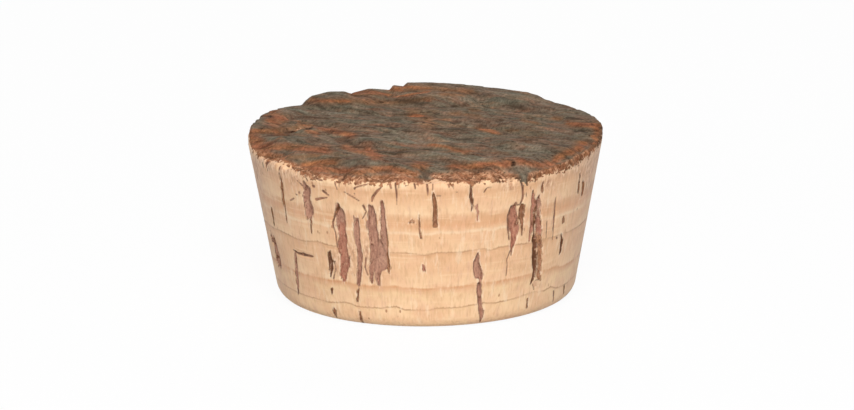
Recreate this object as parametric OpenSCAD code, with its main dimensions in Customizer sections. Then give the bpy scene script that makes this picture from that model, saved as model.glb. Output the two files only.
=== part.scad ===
// Cork stopper: a tapered plug cut from one piece of natural cork.
// The tree's outer bark is left on as the wide top face, so the growth rings lie level
// and the lenticels, the brown breathing channels of the bark, run up the side.
// Millimetres. The origin is the centre of the base and +Z points up to the bark.
// The front of the stopper looks along -Y.

/* [Body] */
// Diameter across the upper edge of the side
top_diameter = 70; // [40:0.5:110]
// Diameter of the base, measured to its sharp corner
base_diameter = 58.8; // [36:0.2:80]
// Height of the side, from the base to its upper edge
side_height = 30.6; // [20:0.2:60]
// Radius of the worn lower edge
base_edge_radius = 2.9; // [1:0.1:5]

/* [Bark] */
// Height of the tallest bark plate above the upper edge of the side
bark_rise = 3.8; // [1:0.1:6]

/* [Lenticels] */
// Width of a full lenticel where it opens on the side
lenticel_width = 2; // [0.8:0.1:3]
// Depth of a lenticel under the side
lenticel_depth = 1.1; // [0.4:0.1:2.5]

/* [Hidden] */

cork_colour = [0.86, 0.69, 0.50];
// Facets around the turned side
round_facets = 240;
// Straight steps in the round of the lower edge
edge_steps = 8;
// Cells of the bark's surface along its streaks and across them
cells_along = 36;
cells_across = 72;
// How far a cut runs past the face it opens
overrun = 2;

top_radius = top_diameter / 2;
base_radius = base_diameter / 2;
taper = atan2(top_radius - base_radius, side_height);
blank_height = side_height + bark_rise + overrun;
blank_radius = top_radius + (blank_height - side_height) * tan(taper);
// Centre of the lower edge's round, which touches the base and the side
edge_centre = base_radius - base_edge_radius * (1 - sin(taper)) / cos(taper);

// Ground of the bark under its plates, and how much it climbs from the middle to the back
bark_ground_share = 0.42;
bark_climb_share = 0.10;

// Bark plates: x and y of the middle, half length and half width, in shares of the top
// radius, turn in degrees, and height above the ground in shares of the bark's rise
plate_shares = [
    // Tall plates along the back edge
    [-0.55, 0.80, 0.17, 0.26, -24, 0.40],
    [-0.36, 0.92, 0.16, 0.34, -20, 0.29],
    [0.10, 0.90, 0.32, 0.36, -14, 0.48],
    [0.46, 0.79, 0.33, 0.20, -26, 0.36],
    [0.72, 0.62, 0.17, 0.14, -34, 0.15],
    // Plates on the left and right edges
    [-0.90, 0.42, 0.20, 0.13, 64, 0.28],
    [-0.78, 0.56, 0.12, 0.14, -20, 0.08],
    [-0.74, -0.17, 0.24, 0.10, -8, 0.16],
    [0.92, 0.22, 0.36, 0.14, -72, 0.20],
    // Long plates across the middle
    [-0.44, 0.28, 0.32, 0.13, -24, 0.15],
    [-0.22, 0.07, 0.46, 0.15, -28, 0.21],
    [-0.30, -0.15, 0.30, 0.11, -38, 0.17],
    [0.30, 0.42, 0.38, 0.11, -22, 0.12],
    [0.46, 0.20, 0.44, 0.12, -26, 0.17],
    [0.30, -0.11, 0.34, 0.12, -32, 0.19],
    [0.58, -0.32, 0.34, 0.14, -38, 0.21],
    [0.22, -0.36, 0.24, 0.09, -26, 0.15],
    // Small plates near the front edge
    [-0.62, -0.50, 0.24, 0.09, -28, 0.15],
    [-0.34, -0.66, 0.24, 0.09, -20, 0.17],
    [-0.12, -0.80, 0.18, 0.08, -6, 0.12],
    [0.08, -0.60, 0.28, 0.11, -14, 0.19],
    [0.46, -0.68, 0.24, 0.10, 12, 0.15],
];

// Cracks between and across the plates: as above, with the depth in place of the height
crack_shares = [
    [-0.40, 0.50, 0.42, 0.05, -19, 0.22],
    [0.60, 0.52, 0.42, 0.05, -27, 0.16],
    [-0.75, 0.09, 0.16, 0.05, 30, 0.26],
    [-0.36, -0.30, 0.28, 0.05, -42, 0.16],
    [-0.02, -0.44, 0.18, 0.05, 18, 0.14],
    [0.42, 0.02, 0.42, 0.05, -30, 0.18],
    [0.50, -0.86, 0.10, 0.06, -50, 0.22],
    [0.11, -0.88, 0.05, 0.16, 0, 0.14],
];

// Wave that bends the outlines of the plates: its height in shares of the top radius,
// and its degrees over one radius
bend_share = 0.022;
bend_degrees = 800;
// Streaks of the bark: the way they run, their height in shares of the bark's rise,
// and their degrees over one radius across them
streak_turn = -26;
streak_share = 0.035;
streak_degrees = 2600;

// Torn flakes of the bark: height of one step in shares of the bark's rise, steps to one
// unit of the waves that lay them out, and how sharply one flake ends over the next
flake_share = 0.03;
flake_steps = 1.5;
flake_sharpness = 3;
// Those waves: weight, degrees over one radius along and across the streaks, and start
flake_waves = [
    [1.0, 330, 900, 20],
    [0.8, -520, 1400, 110],
    [0.7, 760, 2100, 250],
    [0.5, 1200, 3300, 310],
    [0.4, -1700, 4100, 70],
];
// Where the flakes begin to die out towards the edge, and over what width
flake_end_share = 0.80;
flake_fade_share = 0.12;

// The crumbled edge of the bark: how wide its slope is, in shares of the top radius,
// and how far it falls, in shares of the bark's rise, at the front and at the back
front_slope_share = 0.20;
back_slope_share = 0.05;
front_fall_share = 0.44;
back_fall_share = 0.05;
// Way that the slope faces, turned from the front to the left, how far back it reaches
// that way, and over what depth it dies away
slope_turn = 20;
slope_end_share = -0.8;
slope_fade_share = 1.0;
// Ragged wave of the crumbled edge, and how many waves lie around it
ragged_share = 0.05;
ragged_waves = 23;

// Lenticels that open on the front of the side: angle of the upper end in degrees, from the
// front and positive to the right, turn of the lower end from it in degrees, lower and upper
// end in shares of the side height, and width in shares of a full lenticel
lenticel_shares = [
    // Left of the front
    [-69, 5, 0.30, 0.48, 1.20],
    [-64, 0, 0.56, 0.72, 0.40],
    [-53, -1, 0.60, 0.93, 0.35],
    [-52, -3, 0.13, 0.42, 0.40],
    [-42, 1, 0.62, 0.92, 1.05],
    [-34, -1, 0.30, 0.50, 0.55],
    [-36, 0, 0.17, 0.23, 0.35],
    // The four wide ones that stand together
    [-30, 1, 0.28, 0.81, 1.05],
    [-23, -1, 0.29, 0.74, 0.55],
    [-18, 0, 0.36, 0.82, 1.05],
    [-13, 1, 0.41, 0.84, 0.50],
    [-17, 1, 0.22, 0.45, 0.50],
    [-25, 0, 0.17, 0.23, 0.35],
    // Middle of the front, two of them open at the upper edge
    [-9, 0, 0.83, 1.05, 0.25],
    [3, 0, 0.71, 0.94, 0.50],
    [15, 1, 0.79, 1.05, 0.30],
    [18, 1, 0.68, 0.80, 0.28],
    [18, 1, 0.29, 0.52, 0.85],
    [20, 2, 0.03, 0.27, 0.62],
    // Right of the front
    [29, 3, 0.49, 0.81, 0.90],
    [31, 0, 0.36, 0.44, 0.28],
    [34, 2, 0.57, 0.79, 0.55],
    [38, 2, 0.55, 0.86, 0.45],
    [41, 3, 0.26, 0.83, 1.00],
    [55, 1, 0.37, 0.51, 0.45],
    [65, 2, 0.71, 0.82, 0.70],
];
// Lenticels around the back: how many, first and last angle, and the limits of the turn of
// their lower ends, their lower ends, lengths and widths
back_lenticels = 22;
back_angles = [84, 276];
back_turns = [-3, 3];
back_low_shares = [0.12, 0.55];
back_long_shares = [0.14, 0.42];
back_wide_shares = [0.30, 0.95];
// How ragged the edges of a lenticel are, in shares of its half width
lenticel_ragged_share = 0.45;
// Steps along the edge of a lenticel
lenticel_steps = 8;
// Seed of the ragged edges
seed = 7;
// How the back lenticels are strewn: turns in degrees by number and by kind, and a stretch
// that leaves no pattern
chance_turns = [127.1, 311.7];
chance_stretch = 43758.5453;

// Evenly spread random numbers within two limits
function spread(limits, count, salt) = rands(limits[0], limits[1], count, seed + salt);
function mix(a, b, share) = a + (b - a) * share;
// A number within two limits that looks random and is the same each time
function chance(limits, index, salt) =
    let (value = sin(chance_turns[0] * index + chance_turns[1] * salt) * chance_stretch)
    mix(limits[0], limits[1], value - floor(value));
function smooth(share) = let (s = min(1, max(0, share))) s * s * (3 - 2 * s);
function turned(p, turn) = [p[0] * cos(turn) - p[1] * sin(turn), p[0] * sin(turn) + p[1] * cos(turn)];

// Flat-topped oval hump: its full height in the middle and zero at its outline
function hump(row, p) =
    let (
        q = turned([p[0] - row[0], p[1] - row[1]], -row[4]),
        reach = pow(q[0] / row[2], 2) + pow(q[1] / row[3], 2)
    )
    row[5] * max(0, 1 - pow(reach, 2));
function tallest(table, p) = max([for (row = table) hump(row, p)]);

// Fall of the crumbled edge, wide at the front and narrow at the back
function edge_fall(p) =
    let (
        back = smooth((turned(p, slope_turn)[1] - slope_end_share) / slope_fade_share),
        slope = mix(front_slope_share, back_slope_share, back),
        wave = ragged_share * (1 - back) * sin(ragged_waves * atan2(p[1], p[0]))
    )
    smooth((norm(p) + wave - 1 + slope) / slope) * mix(front_fall_share, back_fall_share, back);

// Steps of the torn flakes, above and below zero, at a point given in shares of the top radius
function flakes(p) =
    let (
        q = turned(p, -streak_turn),
        waves = [for (w = flake_waves) w[0] * sin(w[1] * q[0] + w[2] * q[1] + w[3])],
        level = flake_steps * (waves * [for (w = waves) 1]),
        step = floor(level) + smooth((level - floor(level)) * flake_sharpness)
    )
    step * (1 - smooth((norm(p) - flake_end_share) / flake_fade_share));

// Height of the bark above the side's upper edge, in shares of the bark's rise,
// at a point given in shares of the top radius
function bark_share(p) =
    let (bent = p + bend_share * [sin(bend_degrees * p[1]), sin(bend_degrees * p[0])])
    bark_ground_share + bark_climb_share * p[1]
    + tallest(plate_shares, bent) - tallest(crack_shares, bent)
    + streak_share * sin(streak_degrees * turned(bent, -streak_turn)[1])
    + flake_share * flakes(bent)
    - edge_fall(p);

// A square grid drawn out to fill a disc, with its rows along the streaks
function disc_point(u, v) = turned([u * sqrt(1 - v * v / 2), v * sqrt(1 - u * u / 2)], streak_turn);
function grid_steps(count) = [for (i = [0:count]) 2 * i / count - 1];

// Everything under the weathered surface of the bark
module under_bark() {
    reach = (blank_radius + overrun) / top_radius;
    row_length = cells_along + 1;
    places = [
        for (v = grid_steps(cells_across))
        for (u = grid_steps(cells_along))
        reach * disc_point(u, v)
    ];
    surface = [
        for (p = places)
        [p[0] * top_radius, p[1] * top_radius, side_height + bark_rise * bark_share(p)]
    ];
    rim = concat(
        [for (i = [0:cells_along - 1]) i],
        [for (j = [0:cells_across - 1]) j * row_length + cells_along],
        [for (i = [cells_along:-1:1]) cells_across * row_length + i],
        [for (j = [cells_across:-1:1]) j * row_length]
    );
    count = len(rim);
    first = len(surface);
    foot = [for (k = rim) [surface[k][0], surface[k][1], -overrun]];
    top_faces = [
        for (j = [0:cells_across - 1])
        for (i = [0:cells_along - 1])
        let (a = j * row_length + i, b = a + 1, c = a + row_length, d = c + 1)
        each [[a, c, b], [b, c, d]]
    ];
    wall_faces = [
        for (k = [0:count - 1])
        let (n = (k + 1) % count)
        each [[rim[k], rim[n], first + k], [rim[n], first + n, first + k]]
    ];
    foot_face = [[for (k = [0:count - 1]) first + k]];
    polyhedron(concat(surface, foot), concat(top_faces, wall_faces, foot_face));
}

// Tapered blank, turned to size, with its lower edge rounded
module blank() {
    round_edge = [
        for (i = [0:edge_steps])
        let (turn = (90 - taper) * i / edge_steps)
        [edge_centre + base_edge_radius * sin(turn), base_edge_radius * (1 - cos(turn))]
    ];
    outline = concat([[0, 0]], round_edge, [[blank_radius, blank_height], [0, blank_height]]);
    rotate_extrude($fn = round_facets) polygon(outline);
}

// Ragged outline of a lenticel, upright, pointed at both ends
module lenticel_outline(length, width, lean, salt) {
    half = width / 2;
    ragged = [1 - lenticel_ragged_share, 1 + lenticel_ragged_share];
    left = spread(ragged, lenticel_steps, salt);
    right = spread(ragged, lenticel_steps, -salt);
    middle = lean / 2;
    function bulge(i) = half * sqrt(sin(180 * i / lenticel_steps));
    function drift(i) = mix(-middle, middle, i / lenticel_steps);
    function rise(i) = mix(-length / 2, length / 2, i / lenticel_steps);
    polygon(concat(
        [[-middle, -length / 2]],
        [for (i = [1:lenticel_steps - 1]) [drift(i) + bulge(i) * right[i], rise(i)]],
        [[middle, length / 2]],
        [for (i = [lenticel_steps - 1:-1:1]) [drift(i) - bulge(i) * left[i], rise(i)]]
    ));
}

// One lenticel cut square into the side
module lenticel(row, salt) {
    middle = (row[2] + row[3]) / 2 * side_height;
    radius = base_radius + middle * tan(taper);
    length = (row[3] - row[2]) * side_height / cos(taper);
    lean = -radius * row[1] * PI / 180;
    rotate([0, 0, row[0] + row[1] / 2])
    translate([0, -radius, middle])
    rotate([90 + taper, 0, 0])
    translate([0, 0, -lenticel_depth])
    linear_extrude(height = lenticel_depth + overrun)
    lenticel_outline(length, row[4] * lenticel_width, lean, salt);
}

module lenticels() {
    for (i = [0:len(lenticel_shares) - 1]) lenticel(lenticel_shares[i], i + 1);
    for (i = [0:back_lenticels - 1]) {
        low = chance(back_low_shares, i, 1);
        long = chance(back_long_shares, i, 2);
        wide = chance(back_wide_shares, i, 3);
        turn = chance(back_turns, i, 4);
        angle = mix(back_angles[0], back_angles[1], i / (back_lenticels - 1));
        lenticel([angle, turn, low, low + long, wide], len(lenticel_shares) + i + 1);
    }
}

module stopper() {
    color(cork_colour)
    intersection() {
        difference() {
            blank();
            lenticels();
        }
        under_bark();
    }
}

stopper();
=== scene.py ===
"""Looks of the cork stopper: weathered bark on top, cut cork with growth rings and lenticels below.

The dressed stopper is one closed mesh that repeats the sizes and the bark's formula of the CAD
model and adds the finer relief. Lengths are in millimetres until the mesh is made.
"""
import itertools
import math

import bpy
import numpy as np
from mathutils import Matrix, Vector


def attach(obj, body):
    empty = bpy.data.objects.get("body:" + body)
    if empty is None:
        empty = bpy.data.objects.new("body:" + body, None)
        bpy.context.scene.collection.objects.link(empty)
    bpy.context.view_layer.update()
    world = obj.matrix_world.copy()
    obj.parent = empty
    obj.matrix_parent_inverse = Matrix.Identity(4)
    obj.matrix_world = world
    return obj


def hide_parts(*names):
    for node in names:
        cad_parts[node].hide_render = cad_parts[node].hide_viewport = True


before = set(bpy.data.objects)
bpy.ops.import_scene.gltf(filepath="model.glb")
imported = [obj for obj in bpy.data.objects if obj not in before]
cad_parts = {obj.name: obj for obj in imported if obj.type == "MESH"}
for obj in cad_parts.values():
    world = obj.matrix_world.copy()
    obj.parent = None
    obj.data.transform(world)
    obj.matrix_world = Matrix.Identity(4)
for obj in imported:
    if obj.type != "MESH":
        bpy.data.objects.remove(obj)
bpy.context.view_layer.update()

MM = 0.001

# Sizes of the stopper, as in the CAD model
TOP_RADIUS = 35.0
BASE_RADIUS = 29.4
SIDE_HEIGHT = 30.6
BASE_EDGE_RADIUS = 2.9
BARK_RISE = 3.8
TAPER = math.atan2(TOP_RADIUS - BASE_RADIUS, SIDE_HEIGHT)
EDGE_CENTRE = BASE_RADIUS - BASE_EDGE_RADIUS * (1 - math.sin(TAPER)) / math.cos(TAPER)

# The photograph: its size and where it shows the middle of the stopper, in pixels
PHOTO_WIDTH = 854
PHOTO_HEIGHT = 410
MIDDLE_PIXEL = (425.6, 214.5)
PIXELS_PER_MM = 5.034
# The camera: distance in millimetres, height over the horizon and roll in degrees
CAMERA_DISTANCE = 800.0
CAMERA_ELEVATION = 14.2
CAMERA_ROLL = 0.46
SENSOR_WIDTH = 36.0

# Mesh: cells along and across the bark's streaks, rows up the side and round the lower edge
GRID_ALONG = 120
GRID_ACROSS = 200
COLUMNS = 2 * (GRID_ALONG + GRID_ACROSS)
SIDE_ROWS = 90
EDGE_ROWS = 7
# How much closer the columns stand at the front than on average
FRONT_DENSITY = 0.35
# Width of the flat ring between the round of the lower edge and the base
BASE_RING = 0.8

# Bark plates: x, y, half length and half width in shares of the top radius, turn in degrees and
# height in shares of the bark's rise
PLATES = [
    (-0.55, 0.8, 0.17, 0.26, -24, 0.4), (-0.36, 0.92, 0.16, 0.34, -20, 0.29),
    (0.1, 0.9, 0.32, 0.36, -14, 0.48), (0.46, 0.79, 0.33, 0.2, -26, 0.36),
    (0.72, 0.62, 0.17, 0.14, -34, 0.15), (-0.9, 0.42, 0.2, 0.13, 64, 0.28),
    (-0.78, 0.56, 0.12, 0.14, -20, 0.08), (-0.74, -0.17, 0.24, 0.1, -8, 0.16),
    (0.92, 0.22, 0.36, 0.14, -72, 0.2), (-0.44, 0.28, 0.32, 0.13, -24, 0.15),
    (-0.22, 0.07, 0.46, 0.15, -28, 0.21), (-0.3, -0.15, 0.3, 0.11, -38, 0.17),
    (0.3, 0.42, 0.38, 0.11, -22, 0.12), (0.46, 0.2, 0.44, 0.12, -26, 0.17),
    (0.3, -0.11, 0.34, 0.12, -32, 0.19), (0.58, -0.32, 0.34, 0.14, -38, 0.21),
    (0.22, -0.36, 0.24, 0.09, -26, 0.15), (-0.62, -0.5, 0.24, 0.09, -28, 0.15),
    (-0.34, -0.66, 0.24, 0.09, -20, 0.17), (-0.12, -0.8, 0.18, 0.08, -6, 0.12),
    (0.08, -0.6, 0.28, 0.11, -14, 0.19), (0.46, -0.68, 0.24, 0.1, 12, 0.15),
]
# Cracks between the plates: the same, with a depth
CRACKS = [
    (-0.4, 0.5, 0.42, 0.05, -19, 0.22), (0.6, 0.52, 0.42, 0.05, -27, 0.16),
    (-0.75, 0.09, 0.16, 0.05, 30, 0.26), (-0.36, -0.3, 0.28, 0.05, -42, 0.16),
    (-0.02, -0.44, 0.18, 0.05, 18, 0.14), (0.42, 0.02, 0.42, 0.05, -30, 0.18),
    (0.5, -0.86, 0.1, 0.06, -50, 0.22), (0.11, -0.88, 0.05, 0.16, 0, 0.14),
]
# Level of the bark's ground and its climb towards the back, waves that bend the plates, and the
# turn, height and waves of its fine streaks
BARK_GROUND = 0.42
BARK_CLIMB = 0.10
BEND = 0.022
BEND_DEGREES = 800
STREAK_TURN = -26
STREAK = 0.035
STREAK_DEGREES = 2600
# Torn flakes, worn a little lower than in the CAD model: height of a step, steps to one unit of
# their waves and sharpness of their ends, and the waves' weight, degrees along and across the
# streaks, and start
FLAKE, FLAKE_STEPS, FLAKE_SHARPNESS = 0.021, 1.5, 3
FLAKE_WAVES = [
    (1, 330, 900, 20), (0.8, -520, 1400, 110), (0.7, 760, 2100, 250), (0.5, 1200, 3300, 310),
    (0.4, -1700, 4100, 70),
]
FLAKE_END, FLAKE_FADE = 0.80, 0.12
# Crumbled edge of the bark: slope and fall at the front and at the back, where the one turns into
# the other, and the waves of the ragged front
FRONT_SLOPE, BACK_SLOPE = 0.20, 0.05
FRONT_FALL, BACK_FALL = 0.44, 0.05
SLOPE_TURN = 20
SLOPE_END = -0.8
SLOPE_FADE = 1.0
RAGGED = 0.05
RAGGED_WAVES = 23

# Height of the bark's rim around the back, in millimetres over the side's upper edge, by the
# angle from the front in degrees
BACK_RIM = [
    (84, 1.8), (90, 2.4), (98, 2.45), (108, 2.25), (125, 2.15), (131, 2.1), (136, 2.4), (139, 2.9),
    (143, 3.1), (155, 3.2), (167, 3.55), (177, 3.75), (186, 3.85), (187, 3.1), (191, 3.5),
    (191.8, 2.5), (199, 3.05), (206, 2.45), (208, 3), (214, 3.35), (221, 3.1), (224, 2.4),
    (226, 1.7), (232, 2.05), (241, 2.45), (254, 2.25), (262, 2), (270, 1.1), (276, 0.5),
]
# Highest place of the bark over the base
BARK_LIMIT = 34.45
# Where that rim takes over from the bark's formula, in shares of the top radius, and in how many
# degrees at its two ends
RIM_START, RIM_WIDTH, RIM_TURN = 0.84, 0.12, 8

# Tones of the marks on the side, from black cracks to red lenticels
BLACK, UMBER, BROWN, TAN, MAUVE, RED = 0.0, 0.2, 0.4, 0.6, 0.8, 1.0

# How far the ends of a mark fray out along the fibres, in millimetres
FRAY = 0.7
# Share of its depth by which a carved mark looks shifted towards the axis
CARVED_SHIFT = 0.45

# Lenticels that the photograph shows: tone, depth in millimetres, and their course down the side
# as x, y and width in pixels
LENTICELS = [
    (BROWN, 0.4, (280, 176, 1), (282, 184, 2.6), (283, 195, 2.6), (285, 207, 2), (288, 224, 0.8)),
    (BROWN, 0.3, (270.5, 202, 0.6), (272, 209, 1.4), (273, 216, 1.8), (274, 223, 0.6)),
    (MAUVE, 0.8, (272, 234, 1.8), (276, 245, 4.6), (279, 256, 5), (280, 264, 4)),
    (MAUVE, 0.5, (296, 254, 1.6), (297, 265, 3), (298, 278, 2.8), (299, 294, 1.5)),
    (MAUVE, 0.8, (305, 185, 2), (308, 193, 7.5), (308, 202, 8), (310, 213, 7.2), (310.5, 221, 5)),
    (BROWN, 0.3, (311, 220, 2.4), (312, 234, 0.6)),
    (MAUVE, 0.9, (338.4, 205, 3.5), (339.6, 211, 8.5), (341, 222, 9.6)),
    (RED, 0.9, (341, 222, 9.6), (343, 233, 9), (343.4, 242, 9), (344.6, 253, 9),
        (345.7, 262, 9.5), (345, 270, 8.5), (344, 278, 6), (344, 283, 1.5)),
    (UMBER, 0.7, (330, 250, 2.5), (331, 259, 4.5), (332, 268, 4), (331, 277, 1.2)),
    (UMBER, 0.5, (332, 258.5, 2), (334.5, 258.5, 2.4)),
    (MAUVE, 0.7, (356.8, 217.5, 4.5), (357.3, 227, 5.4), (357.7, 238, 5), (359.6, 250, 4.5),
        (360.7, 260, 5), (360, 270, 4.6), (359.3, 282, 3)),
    (MAUVE, 0.9, (371, 208.5, 6.5), (372, 214, 8), (373, 224, 9.6), (373.8, 237, 9.6),
        (374.6, 249, 9.4), (374, 260, 9), (372.3, 271, 3.6), (372, 279, 2.6)),
    (MAUVE, 0.4, (382.6, 206, 3.6), (383, 214, 4.6), (383.6, 226, 5.6), (384.2, 240, 6.6),
        (384.6, 252, 7)),
    (BROWN, 0.7, (382.6, 205.5, 3), (385, 226, 2.6), (386.6, 240, 3), (387, 253, 3.4),
        (388, 262, 5.5), (388.4, 269, 3.2)),
    (MAUVE, 0.7, (379.4, 244, 6), (379.6, 257, 15), (380, 264, 18), (379, 270, 8),
        (378.6, 276, 5.6), (378.8, 281, 3.4), (380.2, 288, 0.8)),
    (BROWN, 0.4, (358.4, 292, 3), (358, 301, 1.6)),
    (BROWN, 0.3, (331.8, 287.5, 2), (332, 292, 1)),
    (BROWN, 0.3, (333.4, 305, 1), (334.6, 310, 3.4), (334.6, 317, 0.8)),
    (BROWN, 0.3, (359.8, 309, 1.8), (360.4, 314, 2.4), (361, 322, 1.4)),
    (TAN, 0.3, (409, 223, 1.4), (412.5, 222, 3), (416, 223.5, 1.2)),
    (BROWN, 0.2, (418.7, 214, 1), (419.6, 224, 1.6), (420.7, 238, 1.4)),
    (RED, 0.3, (423, 266, 2.2), (424.3, 270.5, 3)),
    (BROWN, 0.6, (432.5, 190, 1.4), (433.8, 196.5, 3.6), (435, 206, 4), (435.3, 218, 4.2),
        (435.3, 225, 4.4)),
    (UMBER, 0.5, (470.7, 183, 1.6), (470.8, 190, 2), (470.5, 198, 2.6), (471.6, 204, 1.8),
        (471.8, 211, 1.5)),
    (RED, 0.3, (476.6, 204, 1.4), (477.5, 212, 2.2), (477.7, 223, 0.8)),
    (MAUVE, 0.8, (478, 249, 1), (476.4, 259, 6), (477.2, 266.5, 7.6), (478.3, 273, 7),
        (480.5, 279, 4), (479.4, 285, 1.5)),
    (MAUVE, 0.7, (478.8, 286, 4), (478.6, 291, 5.4), (478.8, 298, 4), (480, 305.5, 3.8),
        (481, 311.5, 4.6), (480.8, 321, 1.2)),
    (RED, 0.9, (515, 203, 1.2), (513.2, 208.5, 6), (512.4, 216, 8.6), (513, 224, 8),
        (513.4, 233, 6.5), (512.3, 243, 4.5), (511.2, 251, 1.5)),
    (BROWN, 0.6, (521.8, 207, 5.5), (521.2, 215, 4.6), (521.2, 226, 3.6), (521.2, 236, 1)),
    (RED, 0.6, (532.4, 193, 1.2), (533.2, 205, 5.6), (532.6, 211, 5.6), (531.8, 219, 4.2),
        (531.2, 227, 3.8), (528.8, 239, 1)),
    (MAUVE, 0.8, (537.3, 199, 2.4), (538, 207, 4), (538, 217, 5)),
    (RED, 0.8, (538, 217, 5), (538, 228, 6), (537.3, 237, 5)),
    (TAN, 0.8, (537.6, 237, 5), (538.2, 245, 4.8), (539.2, 255, 4.8), (538.9, 264, 4.4),
        (538.3, 273, 3.6), (539.8, 279, 1.6)),
    (UMBER, 0.8, (537.3, 201, 1.8), (534.4, 213, 1.8), (533.6, 226, 2), (532.6, 240, 2.6)),
    (BLACK, 1.1, (533.2, 240, 2.6), (532.8, 250.5, 4.6), (533, 259.5, 4.8), (533.2, 270.5, 4.2),
        (532.6, 277.5, 2.8), (529.3, 283, 1.2)),
    (BROWN, 0.3, (542.6, 183, 1.6), (542.4, 188, 3), (542.2, 191, 2)),
    (UMBER, 0.4, (560.7, 234, 1.2), (560.7, 243, 2.6), (559, 255, 1)),
    (BROWN, 0.3, (563, 217, 2), (563, 221, 2.4)),
    (BROWN, 0.4, (580, 172, 0.8), (578.7, 184, 1.8), (577.6, 193, 1.4)),
    (BROWN, 0.5, (582.3, 181, 1.2), (582.3, 187, 2.2), (580.7, 197, 1.4)),
    (BROWN, 0.3, (527.3, 299, 1.8), (526.8, 309, 1.4)),
    (BROWN, 0.2, (563.7, 287, 1), (563.7, 294, 1.4)),
]

# Dark cracks and scratches that the photograph shows: depth and course as above
FISSURES = [
    (0.5, (266.8, 157, 2.4), (266.2, 165.5, 1.6), (267.6, 170.5, 1.2)),
    (0.2, (262.3, 163, 0.8), (263, 167, 0.8)), (0.4, (279, 160, 1.6), (278.7, 170, 1.4)),
    (0.5, (293.8, 250, 1), (298.4, 253.4, 1.6), (304, 254.5, 2.4), (313, 256.7, 1.4)),
    (0.4, (338.4, 205.3, 2), (335.7, 212, 1.8), (333, 223, 1.6), (333.4, 227, 1.8),
        (335.7, 233, 1), (337.3, 248, 0.9)),
    (0.3, (363.4, 206, 2.8), (366.2, 212, 1.4), (362.3, 219, 0.8)),
    (0.2, (366, 258, 1.2), (365, 268, 1.2), (368, 275, 1.4)),
    (0.2, (334, 262, 1), (336, 268, 0.8), (333.5, 279, 1.2)),
    (0.2, (350, 256, 0.8), (348.5, 263, 1.4), (350.5, 268, 0.8)),
    (0.4, (395, 183, 2), (396.4, 193, 1.8), (396.8, 205, 0.7)),
    (0.3, (388.5, 182.5, 2.6), (391.2, 188.5, 1.4)), (0.2, (398.4, 183, 1.2), (398.7, 188.5, 1)),
    (0.3, (413.6, 181, 2.6), (415.3, 189, 1.4)),
    (0.2, (426.6, 182, 1.8), (427.7, 190, 1.8), (427.7, 196, 0.7)),
    (0.2, (433, 180, 1), (432.6, 190, 1.2)), (0.2, (436.6, 195.8, 1.2), (440.5, 195.8, 1.4)),
    (0.2, (448.5, 183, 2.2), (449.4, 187.5, 1.2)), (0.2, (453, 186, 1.4), (453.6, 189.5, 1.2)),
    (0.2, (456.2, 192, 1.6), (457, 192.2, 1.6)),
    (0.2, (484.4, 192, 1.2), (486.6, 188.3, 1), (492, 187.2, 1.2)),
    (0.4, (511.4, 206, 1.6), (508, 216, 1.8), (508, 228, 1.6), (509.2, 240, 1.2)),
    (0.3, (510.7, 250, 1.2), (506.8, 259.5, 1.1), (507.1, 266, 0.9), (506.2, 276, 0.6)),
    (0.5, (518.4, 176, 1.4), (520.7, 181, 1.6), (522.9, 187.5, 1.8), (522.9, 197.5, 1.8),
        (520.7, 204, 1.5), (515.7, 206, 1)),
    (0.2, (526.2, 192.5, 0.9), (526.8, 197.5, 0.9)), (0.2, (532.5, 284, 0.9), (534, 289.5, 0.9)),
    (0.2, (541, 279, 0.8), (535.5, 280.5, 0.9)),
    (0.3, (555.7, 197, 0.8), (554.6, 210.5, 1.4), (553.4, 226, 1.2), (552.3, 240, 0.7)),
    (0.2, (547, 221.5, 1), (546.2, 238, 0.7)), (0.2, (556.4, 237.5, 1.6), (556.8, 238.2, 1.6)),
    (0.2, (553.7, 291, 1.2), (553.4, 302, 0.8)), (0.2, (575.7, 160, 1), (575, 167.5, 0.8)),
    (0.2, (290, 200.5, 0.8), (294, 198.5, 1.2)), (0.2, (296, 194.3, 1.4), (296.6, 194.8, 1.4)),
    (0.2, (299, 192.6, 1.4), (299.6, 193, 1.4)), (0.3, (313, 186, 2.2), (314, 186.4, 2.2)),
    (0.2, (297.3, 181, 1), (302.3, 185.6, 1.4)), (0.2, (303.4, 174, 1.4), (307.3, 181, 1.2)),
    (0.3, (312.3, 177.5, 1), (318, 179.6, 1.6), (322, 180.6, 1.2)),
    (0.3, (323, 191, 2), (326, 193.4, 1.6), (329, 195.6, 1)),
    (0.3, (316.2, 199.6, 1.8), (321, 198.4, 1.4), (327, 197.8, 1.2)),
    (0.2, (334, 182, 1), (337, 189.5, 0.9)), (0.2, (338, 182, 1.4), (339.4, 187, 1)),
    (0.2, (347.5, 181, 1.4), (348.3, 184.5, 1)),
    (0.3, (382, 187, 1), (376.2, 192.2, 2.4), (372.4, 197.7, 2.2), (371.8, 202, 0.9)),
    (0.2, (354.6, 187.7, 0.8), (360.7, 186, 1.2), (368, 184.2, 1)),
    (0.2, (354.3, 188.7, 1.6), (354.5, 189.3, 1.6)),
    (0.2, (354.5, 193.7, 1.3), (354.7, 194.2, 1.3)),
    (0.2, (344, 192, 0.9), (352, 196.6, 1.3), (359, 201, 1.3)),
]

# Brown stains between the lenticels, and partly painted shade under the edge of the bark and at
# the side's left and right edges: middle and half sizes in pixels
STAINS_AND_SHADE = [
    (351, 258, 5, 16), (366, 256, 4, 18), (380, 234, 4, 26), (336, 262, 4, 12), (536, 284, 5, 4),
    (259, 160, 6, 6), (271, 165, 8, 6), (284, 171, 9, 8), (294, 179, 6, 7), (256, 182, 6, 26),
    (279, 163, 7, 4), (288, 166, 7, 4), (296, 170, 6, 4), (303, 174, 5, 4), (588, 161, 6, 7),
    (576, 168, 6, 6), (563, 173, 6, 5), (588, 176, 9, 17), (597, 162, 6, 14), (509, 186, 8, 5),
    (549, 184, 7, 6),
]

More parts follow.
